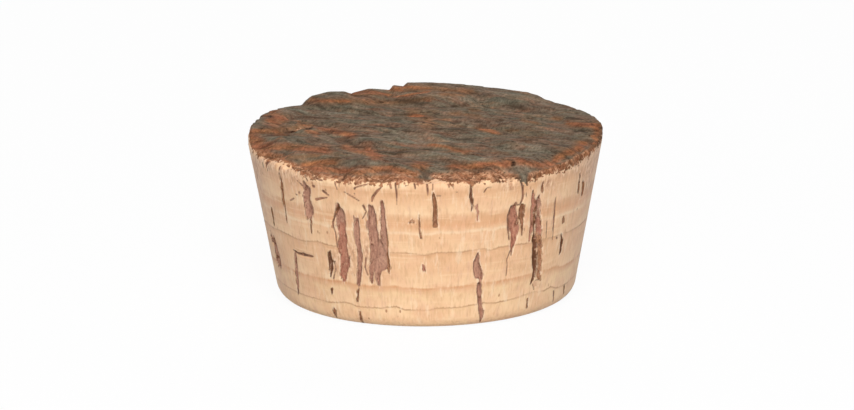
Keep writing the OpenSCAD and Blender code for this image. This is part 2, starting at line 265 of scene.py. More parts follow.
# Lower edge of the bark along the front, in pixels
BARK_EDGE = [
    (249, 147), (255, 153), (261, 157), (266, 158), (273, 159.5), (282, 160), (291, 165.5),
    (297, 170.5), (303, 175.5), (311, 176.5), (324, 178), (333, 180.5), (346, 181.5), (357, 181),
    (373, 182.5), (384, 182), (393, 182.5), (400, 181), (407, 181), (413, 180), (421, 183.5),
    (425, 180), (430, 181), (434, 177), (441, 177), (448, 181.5), (452, 185), (456, 181.5),
    (468, 182.5), (477, 182), (486, 181), (494, 181), (503, 179), (515, 176.5), (521, 180),
    (526, 184), (531, 178.5), (542, 176), (553, 172), (566, 168), (575, 163), (584, 157.5),
    (593, 152), (599, 146),
]
# How far loose bark spills below that edge, in millimetres
BARK_SPILL = 0.4
# Height of that edge around the back, as a share of the side height
BACK_EDGE = 1.03

# Courses of two growth rings across the front, in pixels, and their levels as shares of the side
# height
UPPER_RING = [
    (267, 224), (280, 231), (286, 234), (296, 239), (305, 241.7), (317, 241.7), (328, 245.5),
    (337, 247.2), (386, 253.3), (404, 253.3), (418, 255), (428, 255.5), (437, 253), (459, 253),
    (472, 251), (484, 249.4), (491, 251), (499, 247.7), (509, 246.4), (518, 244.8), (531, 243.6),
    (541, 240), (553, 237.8), (563, 233.4), (576, 230),
]
LOWER_RING = [
    (324, 300.5), (338, 302.2), (348, 302.7), (357, 306.6), (382, 308), (396, 306.6), (405, 310),
    (428, 310.5), (437, 308.6), (462, 307.2), (472, 305), (485, 302.7), (494, 303.3), (511, 299.4),
    (526, 294.5), (536, 291.7), (545, 290.4), (552, 285), (562, 284.5),
]
UPPER_LEVEL, LOWER_LEVEL = 0.51, 0.14

# Strokes of colour on the bark: half height, then x and y of the points of the course in turn, all
# in pixels. Rust, where the bark is torn
RUST_STROKES = [
    (2.6, 256, 150, 268, 156, 282, 156), (2, 572, 125, 594, 126),
    (1.6, 312, 101, 332, 102, 347, 101), (1.4, 350, 94, 364, 92, 382, 94, 390, 94),
    (1.8, 392, 88, 403, 89), (1.2, 405, 87, 429, 88), (1.3, 394, 96, 429, 91),
    (2, 410, 115, 419, 115), (5, 273, 115, 280, 120), (3, 268, 121, 275, 124),
    (0.9, 296, 123.5, 304, 125.5, 317, 126), (2.5, 257, 132, 272, 132, 282, 134),
    (2, 307, 131, 315, 134), (3, 320, 129, 332, 131, 343, 134, 350, 135.5),
    (6, 254, 139, 258, 147, 263, 152), (4, 269, 147, 285, 146, 298, 147.5, 314, 149, 324, 149),
    (2.5, 266, 155, 280, 157.5), (2.5, 344, 147.5, 362, 151), (4, 368, 150, 378, 157.5),
    (2.2, 304, 165, 319, 164, 332, 162.5),
    (3.5, 304, 169, 332, 171, 354, 172.5, 370, 171, 382, 167.5, 392, 167.5, 402, 171, 415, 174),
    (3, 323, 177.5, 344, 179, 369, 179, 392, 177.5), (4, 418, 165, 424, 166),
    (1.5, 423, 100, 428, 101), (1.3, 480, 129, 489, 131, 498, 133),
    (2, 569, 124, 580, 125, 594, 124), (1, 434, 145, 448, 147.5, 455, 151, 465, 152.5),
    (2, 597, 125, 598, 134, 594, 144), (2.5, 585, 145, 573, 152.5, 560, 157.5, 554, 161),
    (3.5, 550, 164, 532, 164, 519, 161), (2.6, 454, 166, 469, 167.5, 484, 165, 497, 164, 509, 164),
    (4.5, 457, 176, 482, 176, 500, 175), (2.5, 435, 176, 447, 176), (2.5, 544, 172.5, 537, 175),
    (3, 499, 177.5, 505, 177.5),
]
# Golden brown, where it is worn but not torn
OLIVE_STROKES = [
    (5, 412, 113, 424, 117, 430, 125), (3.5, 316, 163, 336, 160), (4, 598, 124, 598, 146),
    (3, 349, 100, 390, 104, 430, 98), (3, 585, 142, 560, 157), (2.5, 262, 130, 300, 127),
    (3, 392, 88, 430, 88, 470, 92), (2.5, 290, 158, 318, 156), (2, 444, 94, 460, 95),
    (1.8, 464, 90, 473, 90.5), (2, 453, 114, 460, 114), (2, 472, 110.5, 479, 111),
    (2, 467, 115, 478, 116), (2, 443, 119.5, 449, 120), (2, 478, 128.5, 500, 134),
    (1.8, 507, 131, 519, 131), (2.2, 524, 120, 535, 122.5), (2, 552, 117.5, 559, 119),
    (3.5, 312, 101, 332, 102, 347, 101), (3, 350, 94, 364, 92, 390, 94),
    (2.5, 432, 145, 448, 147.5, 465, 152.5), (3.5, 569, 124, 594, 124),
    (4, 454, 166, 484, 165, 509, 164), (4, 304, 165, 332, 162.5),
]
# Pale lichen
PALE_STROKES = [
    (2.5, 264, 140, 285, 139.5, 304, 140), (2.5, 347, 165, 369, 164, 379, 164),
    (2, 275, 111, 297, 110), (2, 332, 92.5, 347, 95.5), (1.2, 431, 100.5, 432.5, 100.7),
    (4, 499, 145.5, 512, 151, 529, 152.5, 539, 152.5), (2, 450, 157.5, 469, 160, 489, 159),
    (4, 438, 165, 444, 167.5), (1.5, 432, 152.5, 450, 155), (0.8, 347, 107, 348, 107),
    (2, 464, 100, 500, 100), (3, 419, 174, 428, 178), (2.6, 525, 171, 525.5, 186),
    (5, 521, 168, 527, 169), (2.5, 400, 141, 440, 141, 480, 140), (2, 300, 112, 345, 114),
    (3, 362, 137, 385, 138, 408, 137), (3, 500, 152, 538, 148),
]
# Dark cracks
CRACK_STROKES = [
    (1.5, 312, 106, 324, 108, 347, 109, 360, 112, 382, 114, 408, 114),
    (1.3, 343, 139, 354, 146, 364, 147.5, 382, 152.5, 394, 153, 410, 151, 429, 149.5),
    (1.1, 364, 127.5, 382, 126, 394, 130, 409, 131), (1.8, 394, 100, 419, 104, 429, 103),
    (1, 285.5, 160, 293, 162.5), (1.2, 435, 129, 452, 129, 478, 129),
    (1.8, 500, 104.5, 527, 109.5, 544, 114, 560, 116.5, 582, 120),
    (2, 523, 139, 539, 141, 549, 145), (1.8, 557, 145, 568, 146.5), (1.1, 419, 150, 435, 150),
    (1.3, 270, 135, 282, 135.5, 292, 132.5), (1, 509, 170.5, 514, 169, 518.5, 167.8),
    (1, 514.6, 175, 518.4, 176.2), (1.2, 452, 140, 480, 139), (1.2, 300, 117, 330, 119),
    (1.2, 440, 108, 470, 105), (1.2, 575, 131, 588, 132), (1, 330, 158, 350, 159),
]
# Black pits
PIT_STROKES = [
    (1.3, 286, 132.5, 294, 131.3), (1.1, 306, 129, 312, 128), (2, 269.5, 116.3, 270.8, 117),
    (1, 267, 123, 267.6, 123), (1, 257, 123, 257.6, 123), (1.3, 261, 128.8, 262, 128.8),
    (0.9, 378.5, 102, 383, 102.5), (0.9, 385, 97.5, 386, 97.5), (0.9, 400.5, 171, 401.5, 171.5),
    (0.9, 411.5, 174, 413, 174.5), (0.9, 324, 144, 324.5, 144.6),
    (1.7, 512.9, 162.4, 512.9, 165.2), (0.9, 487, 140, 487.6, 140),
    (0.9, 498, 156.3, 498.5, 156.3), (1, 516.5, 146, 517, 146.6), (0.9, 592, 124, 592.5, 124.8),
    (1.2, 599, 141.5, 599, 142.5), (0.9, 579, 149.5, 579, 150.8), (0.8, 553, 155.3, 553, 156),
    (0.7, 589.7, 135.2, 589.7, 136), (1, 426, 118.5, 426.6, 118.5), (1, 423, 122.5, 424, 123),
    (1, 432, 124, 432.6, 124), (0.7, 569, 125, 569.6, 125.4), (0.8, 597, 130, 597.4, 131),
]
# Broken crumbs of lighter bark along the front edge, and one loose pale fibre
CRUMB_STROKES = [
    (3, 323, 177.5, 344, 179, 369, 179, 392, 178), (5, 457, 176, 482, 176, 500, 175),
    (3, 435, 176, 447, 176), (1.5, 532, 174, 560, 168), (1, 560, 166, 590, 150),
    (1.2, 254, 151, 280, 159), (2, 285, 161, 318, 176), (1.8, 392, 178, 400, 175, 416, 174),
    (0.6, 284, 135.5, 300, 128.8, 311, 127.3),
]
# How much shorter than it is tall a pixel counts along a stroke
STROKE_STRETCH = 0.6
# Each colour of the bark: its strokes, and how far they wander aside and down, in pixels
BARK_STROKES = {
    "rust": (RUST_STROKES, 3, 1.2), "olive": (OLIVE_STROKES, 3, 0.8),
    "pale": (PALE_STROKES, 3, 0.8), "cracks": (CRACK_STROKES, 3, 0.8),
    "holes": (PIT_STROKES, 0.6, 0.3), "crumbs": (CRUMB_STROKES, 0, 0),
}
# Sizes of that wandering along and across the streaks, in millimetres
STROKE_WAVES = (8, 2.5)

# Lenticels around the back, which the photograph doesn't show: number, first and last angle from
# the front, greatest width and depth in millimetres, tones in turn, and widths down their length
BACK_LENTICELS = 22
BACK_ANGLES = (84, 276)
FULL_LENTICEL = 2.0
BACK_DEPTH = 0.75
BACK_TONES = (BROWN, MAUVE, RED, MAUVE)
BACK_OUTLINE = ((0, 0.3), (0.15, 0.9), (0.5, 1), (0.8, 0.8), (1, 0.2))


def smooth(share):
    """Soft step from 0 to 1."""
    s = np.clip(share, 0, 1)
    return s * s * (3 - 2 * s)


def blend(a, b, share):
    return a + (b - a) * share


def window(value, low, high, fade):
    """1 between two limits, fading to 0 at both."""
    return smooth((value - low) / fade) * smooth((high - value) / fade)


def nearest(x, y, run, rise):
    """How far along a line from the origin a place lies, as a share, and its distance from it."""
    share = np.clip((x * run + y * rise) / (run**2 + rise**2), 0, 1)
    return share, np.hypot(x - share * run, y - share * rise)


def turned(x, y, degrees):
    """A point turned about the origin."""
    c, s = math.cos(math.radians(degrees)), math.sin(math.radians(degrees))
    return x * c - y * s, x * s + y * c


def wrapped(angle):
    """The same angle between minus and plus half a turn."""
    return (angle + math.pi) % (2 * math.pi) - math.pi


def around(radius, turn):
    """Place at a distance from the axis and an angle from the front."""
    return radius * np.sin(turn), -radius * np.cos(turn)


def sine(degrees):
    return np.sin(np.radians(degrees))


def cone_radius(z):
    return BASE_RADIUS + z * math.tan(TAPER)


def lattice(i, j, k, seed):
    """Random values from -1 to 1 at whole-number places, the same in every run."""
    mask = np.int64(0xFFFFFFFF)
    h = (i * 374761393 + j * 668265263 + k * 1440662683 + seed * 982451653) & mask
    h = ((h ^ (h >> 13)) * 1274126177) & mask
    h = ((h ^ (h >> 15)) * 739982445) & mask
    return (h ^ (h >> 16)) % 65536 / 32767.5 - 1


# Brings the noise up to about -1 to 1, because its octaves seldom peak together
NOISE_GAIN = 1.6


def noise(x, y, z, size, seed, octaves=3):
    """Smooth random field from about -1 to 1, its largest forms of a size along x, y and z."""
    total, weight, reach = 0.0, 1.0, 0.0
    for octave in range(octaves):
        p = [np.asarray(v, float) / s * 2**octave for v, s in zip((x, y, z), size)]
        whole = [np.floor(v) for v in p]
        parts = [smooth(v - w) for v, w in zip(p, whole)]
        near_i, near_j, near_k = [(1 - part, part) for part in parts]
        i, j, k = (w.astype(np.int64) for w in whole)
        value = 0.0
        for di, dj, dk in itertools.product((0, 1), repeat=3):
            share = near_i[di] * near_j[dj] * near_k[dk]
            value = value + share * lattice(i + di, j + dj, k + dk, seed + 31 * octave)
        total = total + weight * value
        reach += weight
        weight *= 0.5
    return total / reach * NOISE_GAIN


def flat_noise(x, y, size, seed, octaves=3):
    return noise(x, y, 0 * x, (*size, 1), seed, octaves)


def camera_stand():
    """The camera's right, up and backward axes, and its place in millimetres."""
    elevation, roll = math.radians(CAMERA_ELEVATION), math.radians(CAMERA_ROLL)
    level_right = np.array([1.0, 0, 0])
    level_up = np.array([0, math.sin(elevation), math.cos(elevation)])
    back = np.array([0, -math.cos(elevation), math.sin(elevation)])
    right = level_right * math.cos(roll) - level_up * math.sin(roll)
    up = level_up * math.cos(roll) + level_right * math.sin(roll)
    aside = (PHOTO_WIDTH / 2 - MIDDLE_PIXEL[0]) / PIXELS_PER_MM
    above = (MIDDLE_PIXEL[1] - PHOTO_HEIGHT / 2) / PIXELS_PER_MM
    middle = np.array([0, 0, SIDE_HEIGHT / 2])
    return right, up, back, middle + aside * right + above * up + CAMERA_DISTANCE * back


def photo_pixels(x, y, z):
    """Where the photograph shows points of the stopper."""
    right, up, back, eye = camera_stand()
    seen = np.stack([x, y, z], -1) - eye
    scale = PIXELS_PER_MM * CAMERA_DISTANCE / -(seen @ back)
    return PHOTO_WIDTH / 2 + seen @ right * scale, PHOTO_HEIGHT / 2 - seen @ up * scale


def side_place(px, py):
    """Angle from the front and height of the place on the side that a pixel shows."""
    right, up, back, eye = camera_stand()
    off = right * (px - PHOTO_WIDTH / 2) - up * (py - PHOTO_HEIGHT / 2)
    ray = off / PIXELS_PER_MM - back * CAMERA_DISTANCE
    slope = math.tan(TAPER)
    a = ray[0] ** 2 + ray[1] ** 2 - (slope * ray[2]) ** 2
    b = eye[0] * ray[0] + eye[1] * ray[1] - slope * ray[2] * cone_radius(eye[2])
    c = eye[0] ** 2 + eye[1] ** 2 - cone_radius(eye[2]) ** 2
    reach = (-b - math.sqrt(max(b * b - a * c, 0))) / a
    hit = eye + reach * ray
    return math.atan2(hit[0], -hit[1]), hit[2]


def hump(row, x, y):
    """Flat-topped oval hump: full height in the middle, zero at its outline."""
    along, across = turned(x - row[0], y - row[1], -row[4])
    reach = (along / row[2]) ** 2 + (across / row[3]) ** 2
    return row[5] * np.maximum(0, 1 - reach**2)


def tallest(table, x, y):
    return np.max([hump(row, x, y) for row in table], axis=0)


def sound_edge(x, y):
    """1 where the bark's edge is sound, towards the back, and 0 where it is crumbled."""
    return smooth((turned(x, y, SLOPE_TURN)[1] - SLOPE_END) / SLOPE_FADE)


def edge_fall(x, y):
    """How far the bark falls off at its edge."""
    back = sound_edge(x, y)
    slope = blend(FRONT_SLOPE, BACK_SLOPE, back)
    wave = RAGGED * (1 - back) * np.sin(RAGGED_WAVES * np.arctan2(y, x))
    fall = blend(FRONT_FALL, BACK_FALL, back)
    return smooth((np.hypot(x, y) + wave - 1 + slope) / slope) * fall


def flakes(x, y):
    """Steps of the torn flakes, above and below zero."""
    along, across = turned(x, y, -STREAK_TURN)
    waves = [weight * sine(a * along + b * across + c) for weight, a, b, c in FLAKE_WAVES]
    level = FLAKE_STEPS * np.sum(waves, axis=0)
    step = np.floor(level) + smooth((level - np.floor(level)) * FLAKE_SHARPNESS)
    return step * (1 - smooth((np.hypot(x, y) - FLAKE_END) / FLAKE_FADE))


def bark_share(x, y):
    """Height of the bark over the side's upper edge, in shares of its rise, as in the CAD model."""
    bent_x = x + BEND * sine(BEND_DEGREES * y)
    bent_y = y + BEND * sine(BEND_DEGREES * x)
    streak = STREAK * sine(STREAK_DEGREES * turned(bent_x, bent_y, -STREAK_TURN)[1])
    plates = tallest(PLATES, bent_x, bent_y) - tallest(CRACKS, bent_x, bent_y)
    torn = FLAKE * flakes(bent_x, bent_y)
    return BARK_GROUND + BARK_CLIMB * y + plates + streak + torn - edge_fall(x, y)


# Fine relief of the bark: sizes of its ridges, pits and crumbs and their heights, in millimetres
RIDGE_SIZE, RIDGE_HEIGHT = (5.0, 1.6), 0.11
PIT_SIZE, PIT_DEPTH = (1.9, 1.5), 0.30
CRUMB_SIZE, CRUMB_DEPTH = (1.5, 1.5), 0.35
# Value of the noise at which pits start, and how steep their walls are
PIT_START, PIT_WALL = 0.60, 4
# Where crumbs and calm begin near the rim and how soon they are full, in shares of the top
# radius, and how much of the ridges the calm takes away
RIM_RELIEF, CRUMB_FADE, CALM_FADE, CALM = 0.80, 0.12, 0.14, 0.85


def bark_pits(x, y):
    """1 in the small pits of the bark."""
    return smooth((flat_noise(x, y, PIT_SIZE, seed=13, octaves=2) - PIT_START) * PIT_WALL)


def bark_relief(x, y):
    """Fine relief of the bark: thin ridges, pits, and loose crumbs at the front edge."""
    ridges = flat_noise(*turned(x, y, -STREAK_TURN), RIDGE_SIZE, seed=11, octaves=2)
    crumbs = flat_noise(x, y, CRUMB_SIZE, seed=14, octaves=2)
    share_x, share_y = x / TOP_RADIUS, y / TOP_RADIUS
    beyond, sound = np.hypot(share_x, share_y) - RIM_RELIEF, sound_edge(share_x, share_y)
    crumbled = smooth(beyond / CRUMB_FADE) * (1 - sound)
    calm = 1 - CALM * smooth(beyond / CALM_FADE) * sound
    loose = CRUMB_DEPTH * crumbled * np.minimum(crumbs, 0)
    return calm * RIDGE_HEIGHT * ridges - PIT_DEPTH * bark_pits(x, y) + loose


def bark_height(x, y):
    """Height of the finished bark at a place on the top, in millimetres over the base."""
    share_x, share_y = x / TOP_RADIUS, y / TOP_RADIUS
    broad = BARK_RISE * bark_share(share_x, share_y)
    angle = np.degrees(np.arctan2(x, -y)) % 360
    angles, heights = zip(*BACK_RIM)
    rim = np.interp(angle, angles, heights)
    behind = window(angle, angles[0], angles[-1], RIM_TURN)
    at_rim = behind * smooth((np.hypot(share_x, share_y) - RIM_START) / RIM_WIDTH)
    return np.minimum(SIDE_HEIGHT + blend(broad, rim, at_rim) + bark_relief(x, y), BARK_LIMIT)


# Outline of a mark: how ragged it is, as a share of its width, and the sizes of the waves in its
# sides and at its ends, in millimetres
MARK_RAGGED, SIDE_WAVES, END_WAVES = 0.25, (1.2, 1.8), (0.9, 7.0)
# Least facing towards the camera by which a mark's width is divided
LEAST_FACING = 0.3
# Width of the sloping walls of a mark, and how far those of a fissure reach outside its outline
MARK_WALL, FISSURE_REACH = 0.35, 0.10
# Seeds of the first lenticel and fissure, and what is added for the ends of a mark
LENTICEL_SEED, FISSURE_SEED, END_SEED = 100, 300, 7
# Gap that stands for no mark near by, in millimetres
NO_MARK = 9.0


def course_gap(turn, z, course, seed, fray=0.0):
    """Signed distance to a ragged mark on the unrolled side; negative inside it.

    The course has rows of angle, height and width."""
    radius = cone_radius(z)
    middle = course[len(course) // 2][0]
    off = wrapped(turn - middle) * radius
    ragged = 1 + MARK_RAGGED * flat_noise(off, z, SIDE_WAVES, seed)
    z = z + fray * flat_noise(off, z, END_WAVES, seed + END_SEED, octaves=2)
    gap = np.full(np.shape(z), np.inf)
    for (a0, z0, w0), (a1, z1, w1) in zip(course, course[1:]):
        x0, x1 = (a0 - middle) * radius, (a1 - middle) * radius
        share, distance = nearest(off - x0, z - z0, x1 - x0, z1 - z0)
        gap = np.minimum(gap, distance - blend(w0, w1, share) / 2 * ragged)
    return gap


def traced(course, depth):
    """A course in pixels as angle, height and width on the side.

    The floor of a carved mark lies nearer the axis, so its course moves outwards by a share of
    that."""
    rows = []
    for px, py, width in course:
        out = math.sin(side_place(px, py)[0]) * depth * CARVED_SHIFT * PIXELS_PER_MM
        turn, z = side_place(px + out, py)
        rows.append((turn, z, width / PIXELS_PER_MM / max(math.cos(turn), LEAST_FACING)))
    return rows


def chance(index, salt, low, high):
    """A number between two limits that looks random and is the same in every run."""
    value = math.sin(math.radians(index * 127.1 + salt * 311.7)) * 43758.5453
    return blend(low, high, value - math.floor(value))


def back_lenticels():
    """The hidden side's lenticels: tone, depth and course."""
    rows = []
    for i in range(BACK_LENTICELS):
        turn = math.radians(blend(*BACK_ANGLES, i / (BACK_LENTICELS - 1)))
        lean = math.radians(chance(i, 4, -3, 3))
        low = chance(i, 1, 0.12, 0.55)
        long = chance(i, 2, 0.14, 0.42)
        width = FULL_LENTICEL * chance(i, 3, 0.30, 0.95)
        course = [
            (turn + lean * share, SIDE_HEIGHT * (low + long * (1 - share)), width * bulge)
            for share, bulge in BACK_OUTLINE
        ]
        rows.append((BACK_TONES[i % len(BACK_TONES)], BACK_DEPTH, course))
    return rows


def side_marks(turn, z):
    """Gap and tone of the lenticels, depth of all marks, and gap of the fissures."""
    gap, line = np.full(z.shape, NO_MARK), np.full(z.shape, NO_MARK)
    tone, depth = np.full(z.shape, MAUVE), np.zeros(z.shape)
    front = [(shade, deep, traced(course, deep)) for shade, deep, *course in LENTICELS]
    for index, (shade, deep, course) in enumerate(front + back_lenticels()):
        d = course_gap(turn, z, course, LENTICEL_SEED + index, FRAY)
        tone = np.where(d < gap, shade, tone)
        gap = np.minimum(gap, d)
        depth = np.maximum(depth, deep * smooth(-d / MARK_WALL))
    for index, (deep, *course) in enumerate(FISSURES):
        d = course_gap(turn, z, traced(course, deep), FISSURE_SEED + index)
        line = np.minimum(line, d)
        depth = np.maximum(depth, deep * smooth((FISSURE_REACH - d) / MARK_WALL))
    return gap, tone, depth, line


# Growth rings around the back: how far they wander and the size of it, in millimetres, and the
# angle in radians within which they join the traced ones
RING_WANDER, RING_WAVES, RING_JOIN = 0.5, (11, 11), 0.2


def ring_height(course, level, turns):
    """Height of a growth ring at each column: traced on the front, wandering around the back."""
    places = sorted(side_place(px, py) for px, py in course)
    angles, heights = (np.array(part) for part in zip(*places))
    off = wrapped(turns)
    wander = RING_WANDER * flat_noise(*around(TOP_RADIUS, turns), RING_WAVES, int(100 * level))
    inside = window(off, angles[0], angles[-1], RING_JOIN)
    return blend(level * SIDE_HEIGHT + wander, np.interp(off, angles, heights), inside)


def ring_level(turns, z):
    """Share of the side height, wandering as the growth rings do."""
    lower = ring_height(LOWER_RING, LOWER_LEVEL, turns)
    upper = ring_height(UPPER_RING, UPPER_LEVEL, turns)
    under = LOWER_LEVEL * z / lower
    between = blend(LOWER_LEVEL, UPPER_LEVEL, (z - lower) / (upper - lower))
    over = blend(UPPER_LEVEL, 1.0, (z - upper) / (SIDE_HEIGHT - upper))
    return np.where(z < lower, under, np.where(z < upper, between, over))


# Distance above the bark's lower edge that counts all over the top of the back, in millimetres
BARK_TOP = 5.0
# Where the traced edge begins, as the facing towards the front, and how soon it is full
FACING_START, FACING_FADE = 0.10, 0.2
# Teeth of that edge: their sizes and height in millimetres
TOOTH_SIZE, TOOTH = (1.3, 1.3, 3.0), 0.32


def bark_gap(x, y, z, on_top):
    """Distance above the jagged line where the bark gives way to cork, in millimetres."""
    px, py = photo_pixels(x, y, z)
    front = (np.interp(px, *zip(*BARK_EDGE)) - py) / PIXELS_PER_MM + BARK_SPILL
    back = np.where(on_top, BARK_TOP, z - BACK_EDGE * SIDE_HEIGHT)
    facing = smooth((-y / np.hypot(x, y + 1e-6) - FACING_START) / FACING_FADE)
    return blend(back, front, facing) + TOOTH * noise(x, y, z, TOOTH_SIZE, seed=51)


def column_turns():
    """Angles of the mesh columns from the front, closer together there."""
    even = 2 * math.pi * (np.arange(COLUMNS) + 0.5) / COLUMNS
    return even - FRONT_DENSITY * np.sin(even)


def disc_grid():
    """Places of the bark's grid on a disc of radius 1, its rows along the streaks."""
    u, v = np.meshgrid(np.linspace(-1, 1, GRID_ALONG + 1), np.linspace(-1, 1, GRID_ACROSS + 1))
    return turned(u * np.sqrt(1 - v * v / 2), v * np.sqrt(1 - u * u / 2), STREAK_TURN)


def grid_rim(angle):
    """Rows and columns of the corners around the grid, from the front to the right."""
    low = [(0, i) for i in range(GRID_ALONG)]
    right = [(j, GRID_ALONG) for j in range(GRID_ACROSS)]
    high = [(GRID_ACROSS, i) for i in range(GRID_ALONG, 0, -1)]
    left = [(j, 0) for j in range(GRID_ACROSS, 0, -1)]
    rim = tuple(np.array(low + right + high + left).T)
    first = np.argmin(angle[rim])
    return tuple(np.roll(part, -first) for part in rim)


def bark_grid(turns):
    """Share of the radius and angle of the grid's corners, and which of them are its rim."""
    x, y = disc_grid()
    reach = np.minimum(np.hypot(x, y), 1)
    angle = np.arctan2(x, -y) % (2 * math.pi)
    rim = grid_rim(angle)
    rim_angle = angle[rim]
    moved = np.interp(angle, rim_angle, wrapped(turns - rim_angle), period=2 * math.pi)
    return reach, angle + reach**2 * moved, rim


def side_rings(rim_height):
    """Radius and height of the rings from the base up to the rim, before the relief."""
    radii = [np.full(COLUMNS, EDGE_CENTRE - BASE_RING)]
    heights = [np.zeros(COLUMNS)]
    for i in range(EDGE_ROWS + 1):
        bend = (math.pi / 2 - TAPER) * i / EDGE_ROWS
        radii.append(np.full(COLUMNS, EDGE_CENTRE + BASE_EDGE_RADIUS * math.sin(bend)))
        heights.append(np.full(COLUMNS, BASE_EDGE_RADIUS * (1 - math.cos(bend))))
    first = heights[-1]
    for row in range(1, SIDE_ROWS + 1):
        heights.append(blend(first, rim_height, row / SIDE_ROWS))
        radii.append(cone_radius(heights[-1]))
    return np.array(radii), np.array(heights)


def strokes(table, px, py):
    """Strength of soft strokes at pixel places, 1 along their courses."""
    best = np.zeros(np.shape(px))
    for half, *flat in table:
        course = list(zip(flat[::2], flat[1::2]))
        for (x0, y0), (x1, y1) in zip(course, course[1:]):
            across, run = (px - x0) * STROKE_STRETCH, (x1 - x0) * STROKE_STRETCH
            _, distance = nearest(across, py - y0, run, y1 - y0)
            best = np.maximum(best, np.exp(-((distance / half) ** 2)))
    return best


def bark_fields(x, y, z):
    """Strength of the bark's colours, from the strokes that the photograph shows."""
    px, py = photo_pixels(x, y, z)
    streaks = turned(x, y, -STREAK_TURN)
    aside, down = (flat_noise(*streaks, STROKE_WAVES, seed) for seed in (61, 62))
    fields = {
        name: strokes(table, px + wide * aside, py + high * down)
        for name, (table, wide, high) in BARK_STROKES.items()
    }
    return {**fields, "pits": bark_pits(x, y)}


def stain_and_shade_field(x, y, z):
    """Strength of the brown stains and painted shade on the front of the side."""
    px, py = photo_pixels(x, y, z)
    ovals = [np.exp(-(((px - cx) / w) ** 2) - ((py - cy) / h) ** 4) for cx, cy, w, h in STAINS_AND_SHADE]
    return np.where(y < 0, np.max(ovals, axis=0), 0.0)


# How far the side lies inside the CAD model's cone, how much that wanders and the sizes of it, in
# millimetres
SIDE_INSET, SIDE_WANDER, WANDER_SIZE = 0.06, 0.05, (9, 9, 14)
# Height over the base at which marks and inset begin, and in what height they are full
INSET_START, INSET_FADE = 0.4, 1.2
# Crumbled bark at the rim: how far down it reaches, how deep and rough it is and its sizes, and
# how far it fades around the bark's lower edge
CRUMBLE_REACH, CRUMBLE_DEPTH, CRUMBLE_ROUGH, CRUMBLE_SIZE = 2.4, 0.12, 0.18, (1.5, 1.5, 1.5)
CRUMBLE_FADE, CRUMBLE_SHIFT = 0.8, 0.6
# Rounding of the rim: its depth and reach
RIM_ROUND, RIM_REACH = 0.30, 0.7


def side_surface(turns, rim_height):
    """Radius and height of the side's finished rings, and its colour fields."""
    radius, height = side_rings(rim_height)
    turn = np.broadcast_to(turns, radius.shape)
    gap, tone, depth, line = side_marks(turn, height)
    x, y = around(radius, turn)
    bark = bark_gap(x, y, height, False)
    to_rim = rim_height - height
    crumble = smooth(1 - to_rim / CRUMBLE_REACH) * smooth(bark / CRUMBLE_FADE + CRUMBLE_SHIFT)
    rough = noise(x, y, height, CRUMBLE_SIZE, seed=71)
    wander = noise(x, y, height, WANDER_SIZE, seed=72, octaves=2)
    inset = depth + SIDE_INSET + SIDE_WANDER * wander
    inset = smooth((height - INSET_START) / INSET_FADE) * inset
    inset = inset + crumble * (CRUMBLE_DEPTH + CRUMBLE_ROUGH * rough)
    inset = inset + RIM_ROUND * smooth(1 - to_rim / RIM_REACH)
    fields = {
        "slot_gap": gap, "slot_tone": tone, "line_gap": line,
        "level": ring_level(turns, height), "bark": bark, "stain_and_shade": stain_and_shade_field(x, y, height),
    }
    return radius - np.maximum(inset, 0), height, fields


# Values of the side's colour fields on the top
TOP_FIELDS = {
    "slot_gap": NO_MARK, "slot_tone": MAUVE, "line_gap": NO_MARK, "level": 1.0, "stain_and_shade": 0.0,
}


# Rounds in which the height and the radius of the rim settle
RIM_ROUNDS = 3


def build_shape():
    """Corner places, faces and colour fields of the dressed stopper."""
    turns = column_turns()
    rim_radius = np.full(COLUMNS, TOP_RADIUS)
    for _ in range(RIM_ROUNDS):
        rim_height = bark_height(*around(rim_radius, turns))
        rim_radius = cone_radius(rim_height)
    radius, height, side_fields = side_surface(turns, rim_height)

    reach, angle, rim = bark_grid(turns)
    reach = reach * np.interp(angle, turns, radius[-1], period=2 * math.pi)
    inside = np.ones(reach.shape, bool)
    inside[rim] = False
    top_x, top_y = (part[inside] for part in around(reach, angle))
    top_z = bark_height(top_x, top_y)

    rings = radius.shape[0]
    number = np.zeros(reach.shape, int)
    number[inside] = rings * COLUMNS + np.arange(inside.sum())
    number[rim] = (rings - 1) * COLUMNS + np.arange(COLUMNS)

    side = np.stack([part.ravel() for part in (*around(radius, turns), height)], 1)
    places = np.concatenate([side, np.stack([top_x, top_y, top_z], 1)])
    tops = {name: np.full(top_x.shape, value) for name, value in TOP_FIELDS.items()}
    tops["bark"] = bark_gap(top_x, top_y, top_z, True)
    fields = {
        name: np.concatenate([field.ravel(), tops[name]]) for name, field in side_fields.items()
    }
    fields.update(bark_fields(*places.T))
    return places, shape_faces(rings, number), fields


def quads(number):
    """Faces of a grid of numbered corners."""
    corners = [number[:-1, :-1], number[:-1, 1:], number[1:, 1:], number[1:, :-1]]
    return np.stack([c.ravel() for c in corners], 1).tolist()


def shape_faces(rings, number):
    """Faces of the side, the bark and the base, all turned outwards."""
    side = np.arange(rings * COLUMNS).reshape(rings, COLUMNS)
    around = np.hstack([side, side[:, :1]])
    return quads(around) + quads(number) + [list(range(COLUMNS - 1, -1, -1))]


def add_object(name, data):
    """A new object in the scene."""
    thing = bpy.data.objects.new(name, data)
    bpy.context.scene.collection.objects.link(thing)
    return thing


def make_stopper():
    """The dressed stopper as one mesh object."""
    places, faces, fields = build_shape()
    mesh = bpy.data.meshes.new("cork_stopper")
    mesh.from_pydata((places * MM).tolist(), [], faces)
    for name, field in fields.items():
        layer = mesh.attributes.new(name, "FLOAT", "POINT")
        layer.data.foreach_set("value", np.asarray(field, np.float32))
    mesh.shade_smooth()
    mesh.update()
    return add_object("cork_stopper", mesh)


